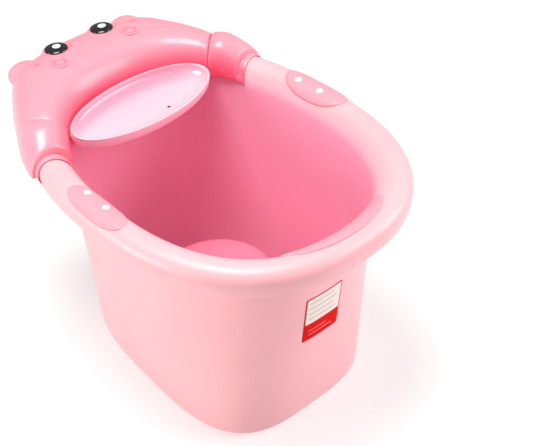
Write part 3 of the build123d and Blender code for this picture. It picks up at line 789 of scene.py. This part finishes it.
def sleeve(name, side):
    """Collar that hugs the rim from under the arm to a slanted, rounded front edge."""
    front_inner, front_outer, back_y = 114 * MM, 127 * MM, 160 * MM
    inner_x, outer_x, top_back = 165 * MM, 226 * MM, 8 * MM
    low_z = 388 * MM
    angles = np.radians(np.linspace(-5, 85, 900))

    def ring_point(turn, grow, share):
        """Point at a turn round the rim's section, a share of the way from the back to the front."""
        if turn < pi / 2:
            inset = BEAD_RADIUS - (BEAD_RADIUS + grow) * cos(turn)
            z = BEAD_Z + (BEAD_HEIGHT + grow) * sin(turn)
        else:
            inset = BEAD_RADIUS - (ROLL_WIDTH + grow) * cos(turn)
            z = ROLL_Z + (ROLL_HEIGHT + grow) * sin(turn)
        plan = rim_plan(angles, inset)
        slope = (front_outer - front_inner) / (outer_x - inner_x)
        set_back = top_back * max(0, (z - low_z) / (RIM_TOP - low_z))
        front = TUB_Y + front_inner + slope * (plan[:, 0] - inner_x) + set_back
        y = share * front + (1 - share) * (TUB_Y + back_y)
        hit = np.interp(0, plan[:, 1] - y, np.arange(len(angles)))
        x = np.interp(hit, np.arange(len(angles)), plan[:, 0])
        return (side * x, np.interp(hit, np.arange(len(angles)), plan[:, 1]), max(z, low_z))

    outer_turn = -asin((BEAD_Z - low_z) / BEAD_HEIGHT)
    inner_turn = pi - asin((low_z - ROLL_Z) / ROLL_HEIGHT)
    turns = np.linspace(outer_turn, inner_turn, 40)
    # Share of the way from the back to the front edge, and height above the rim in millimetres.
    profile = [
        (0.0, 3.4), (0.5, 3.4), (0.85, 3.5), (0.94, 3.4), (0.985, 2.9), (1.0, 2.0), (0.985, 1.0), (0.9, 0.7),
        (0.5, 0.6), (0.0, 0.6),
    ]
    rows = [[ring_point(turn, grow * MM, share) for turn in turns] for share, grow in profile]
    verts = np.array(rows).reshape(-1, 3)
    faces = grid_faces(len(rows), len(turns), wrap_rows=True, wrap_columns=False)
    piece = new_object(name, verts, faces)
    return set_painted_shade(subdivide(piece), painted_inner_face_shade)


finish_piece(head_shell(), "head", "head_plastic", HEAD_PINK, "head_cover")
for side, name in ((-1, "left"), (1, "right")):
    finish_piece(arm_shell(f"arm_shell_{name}", side), "head", "head_plastic", HEAD_PINK, f"arm_{name}")
    finish_piece(sleeve(f"collar_{name}", side), "head", "head_plastic", HEAD_PINK, f"clip_sleeve_{name}")

    ball = lathe(
        f"eye_ball_{name}",
        [(EYE_RADIUS * 0.98, -6 * MM), (EYE_RADIUS, 0), (EYE_RADIUS * 0.94, EYE_DOME * 0.45),
         (EYE_RADIUS * 0.75, EYE_DOME * 0.75), (EYE_RADIUS * 0.4, EYE_DOME * 0.95), (0, EYE_DOME)],
    )
    place_on(ball, flipped(EYE, side), EYE_UP)
    finish_piece(ball, "head", "eye_plastic", EYE_BLACK, f"eye_{name}")
    # A painted highlight: a white disc on the black eye where the overhead light's reflection falls.
    glint = lathe(
        f"eye_painted_glint_{name}",
        [(7.4 * MM, -3 * MM), (7.4 * MM, 0), (6.6 * MM, 0.6 * MM), (3.5 * MM, 1.1 * MM), (0, 1.2 * MM)],
        spokes=32,
    )
    place_on(glint, flipped(EYE, side) + Vector((1.0 * MM, -0.5 * MM, EYE_DOME * 0.95)), EYE_UP)
    finish_piece(glint, "head", "eye_plastic", EYE_PAINTED_HIGHLIGHT, f"eye_{name}")
    lid = lathe(
        f"eye_lid_{name}",
        [(EYE_RADIUS + out * MM, up * MM) for out, up in
         ((-1, -7), (-0.3, -1.0), (0.4, -0.1), (1.4, -0.1), (2.4, -1.2), (3.0, -8))],
    )
    place_on(lid, flipped(EYE, side), EYE_UP)
    finish_piece(lid, "head", "head_plastic", HEAD_PINK, f"eye_{name}")
    button = lathe(
        f"cheek_button_{name}",
        [(DISC_RADIUS - inward * MM, up * MM) for inward, up in
         ((0, -5), (0, 1.2), (0.8, 2.4), (2.4, 2.7), (3.8, 1.8), (5, 1.2), (8, 2.0), (11, 2.5))]
        + [(0, 2.6 * MM)],
    )
    place_on(button, flipped(DISC, side), (side * 0.04, 0.0, 1))
    set_painted_shade(button, painted_groove_shade)
    finish_piece(button, "head", "head_plastic", HEAD_PINK, f"cheek_disc_{name}")

# Soap dish and holder ---------------------------------------------------------------------------

DISH_CENTRE = Vector((0, 168 * MM + TUB_Y, 411 * MM))
DISH_TILT = radians(14.9)
DISH_HALF_WIDTH, DISH_HALF_DEPTH = 134.5 * MM, 51.2 * MM
DRIP_HOLE = (34 * MM, -27 * MM)


def oval_shell(name, sections, spokes=160):
    """Closed skin from (depth, shrink) sections of the dish's oval, in the dish's tilted frame."""
    turns = np.linspace(0, 2 * pi, spokes, endpoint=False)
    rows = []
    for depth, shrink in sections:
        width, length = DISH_HALF_WIDTH - shrink * MM, DISH_HALF_DEPTH - shrink * 0.8 * MM
        height = np.full(spokes, -depth * MM)
        rows.append(np.column_stack([width * np.cos(turns), length * np.sin(turns), height]))
    verts = np.concatenate(rows)
    piece = new_object(name, verts, grid_faces(len(rows), spokes))
    work = bmesh.new()
    work.from_mesh(piece.data)
    work.verts.ensure_lookup_table()
    for row in (0, len(rows) - 1):
        work.faces.new([work.verts[row * spokes + j] for j in range(spokes)])
    bmesh.ops.recalc_face_normals(work, faces=work.faces)
    work.to_mesh(piece.data)
    work.free()
    piece.data.transform(Matrix.Translation(DISH_CENTRE) @ Matrix.Rotation(DISH_TILT, 4, "X"))
    return piece


# Skins of the tray and its holder: depth below the tray's face, and inset from its edge, in millimetres.
dish_skin = [
    (11.5, 46), (11.3, 38), (10.4, 26), (8.6, 15.5), (5.6, 9.5), (2.4, 6.6), (0.6, 5.2), (-0.3, 4.0),
    (-0.7, 2.6), (-0.6, 1.2), (0.1, 0.2), (1.1, 0.0), (1.9, 0.7), (2.0, 2.4), (3.4, 4.4), (7.0, 8.0),
    (10.5, 15.0), (12.6, 26), (13.4, 38), (13.6, 46),
]
tray = subdivide(oval_shell("soap_tray", dish_skin))
drill_profile = [(0, -20 * MM), (2.5 * MM, -20 * MM), (2.5 * MM, 4 * MM), (0, 4 * MM)]
drip_drill = lathe("drip_drill", drill_profile, spokes=24, levels=0)
drip_drill.data.transform(
    Matrix.Translation(DISH_CENTRE) @ Matrix.Rotation(DISH_TILT, 4, "X") @ Matrix.Translation((*DRIP_HOLE, 0))
)
drip_hole = tray.modifiers.new("drip_hole", "BOOLEAN")
drip_hole.object, drip_hole.operation, drip_hole.solver = drip_drill, "DIFFERENCE", "EXACT"


def painted_tray_shade(place, normal):
    """Painted pink bounce light and shade on the tray's rear wall, from the head behind it."""
    towards_head = smooth_step(DISH_CENTRE.y - 30 * MM, DISH_CENTRE.y + 40 * MM, place.y)
    return towards_head * smooth_step(1.0, 0.9, normal.z)


set_painted_shade(tray, painted_tray_shade)
finish_piece(tray, "soap_dish", "white_plastic", TRAY_WHITE, "soap_dish")

holder_skin = [(26, 60), (25.4, 40), (22.5, 22), (18, 9.5), (12.5, 4.6), (6, 3.2), (2.8, 3.1), (2.3, 2.4),
               (2.25, 0.9), (2.9, 0.0), (6, -0.5), (12, -0.6), (18, 0.5), (23, 4.0), (27, 11.5), (29.5, 22),
               (30.8, 40), (31, 60)]
holder = subdivide(oval_shell("tray_holder", holder_skin))
finish_piece(holder, "head", "head_plastic", HOLDER_PINK, "dish_holder")

# Camera -----------------------------------------------------------------------------------------

camera_data = bpy.data.cameras.new("camera")
camera = bpy.data.objects.new("camera", camera_data)
bpy.context.scene.collection.objects.link(camera)
bpy.context.scene.camera = camera
camera_data.sensor_width = 36.0
camera_data.lens = 82.03
camera_data.clip_end = 50.0
AZIMUTH, ELEVATION, ROLL, DISTANCE = radians(-40.84), radians(39.541), radians(-2.372), 2.0034
target = Vector((0.07326, -0.0582 + TUB_Y, 0.24842))
back = Vector((sin(AZIMUTH) * cos(ELEVATION), -cos(AZIMUTH) * cos(ELEVATION), sin(ELEVATION)))
level = Vector((0, 0, 1)).cross(back).normalized()
upright = back.cross(level)
right = level * cos(ROLL) + upright * sin(ROLL)
upward = upright * cos(ROLL) - level * sin(ROLL)
pose = Matrix((right, upward, back)).transposed().to_4x4()
pose.translation = target + back * DISTANCE
camera.matrix_world = pose

# Floor and light --------------------------------------------------------------------------------


def pale_floor():
    size = 6.0
    steps = 8
    ticks = np.linspace(-size, size, steps)
    verts = [(x, y, 0.0) for y in ticks for x in ticks]
    piece = new_object("studio_floor", verts, grid_faces(steps, steps, wrap_columns=False))
    white = plastic("floor_white", (0.55, 0.55, 0.55), 0.6, tint=0.004, bump=0.01)
    shader = white.node_tree.nodes["Principled BSDF"]
    shader.inputs["Emission Color"].default_value = (1, 1, 1, 1)
    shader.inputs["Emission Strength"].default_value = 0.5
    piece.data.materials.append(white)


def area_light(name, place, aim, size, power, colour=(1, 1, 1)):
    data = bpy.data.lights.new(name, "AREA")
    data.shape = "DISK"
    data.size = size
    data.energy = power
    data.color = colour
    light = bpy.data.objects.new(name, data)
    light.location = place
    light.rotation_euler = (Vector(aim) - Vector(place)).to_track_quat("-Z", "Y").to_euler()
    bpy.context.scene.collection.objects.link(light)


pale_floor()
middle = (0.0, 0.0, 0.3)
area_light("key_left", (-2.3, 0.75, 0.6), middle, 1.2, 29)
area_light("fill_right", (1.9, -1.8, 1.6), middle, 2.0, 56)
area_light("top", (-0.3, 0.1, 2.4), middle, 1.2, 50)

world = bpy.data.worlds.new("studio")
bpy.context.scene.world = world
world.use_nodes = True
world.node_tree.nodes["Background"].inputs["Color"].default_value = (1, 1, 1, 1)
world.node_tree.nodes["Background"].inputs["Strength"].default_value = 0.24
bpy.context.scene.view_settings.view_transform = "Standard"

# Nodes carried over from the design --------------------------------------------------------------

CARRIED = {
    "stool_plastic": STOOL_PINK, "head_plastic": HEAD_PINK, "tub_plastic": TUB_PINK, "grip_pad": GRIP_PINK,
    "white_plastic": WHITE_GLOSS, "eye_plastic": EYE_BLACK, "seal_rubber": SEAL_GREY,
    "foot_rubber": FOOT_GREY, "label_film": LABEL_FILM,
}
slots = {row["node"]: row["material_slot"] for row in frame["record"]["subparts"]}
for name, node in frame["nodes"].items():
    if not node.hide_render:
        node.data.materials.clear()
        node.data.materials.append(CARRIED[slots[name]])

apply_modifiers(*to_apply)
bpy.data.objects.remove(drip_drill)
store_painted_shade()
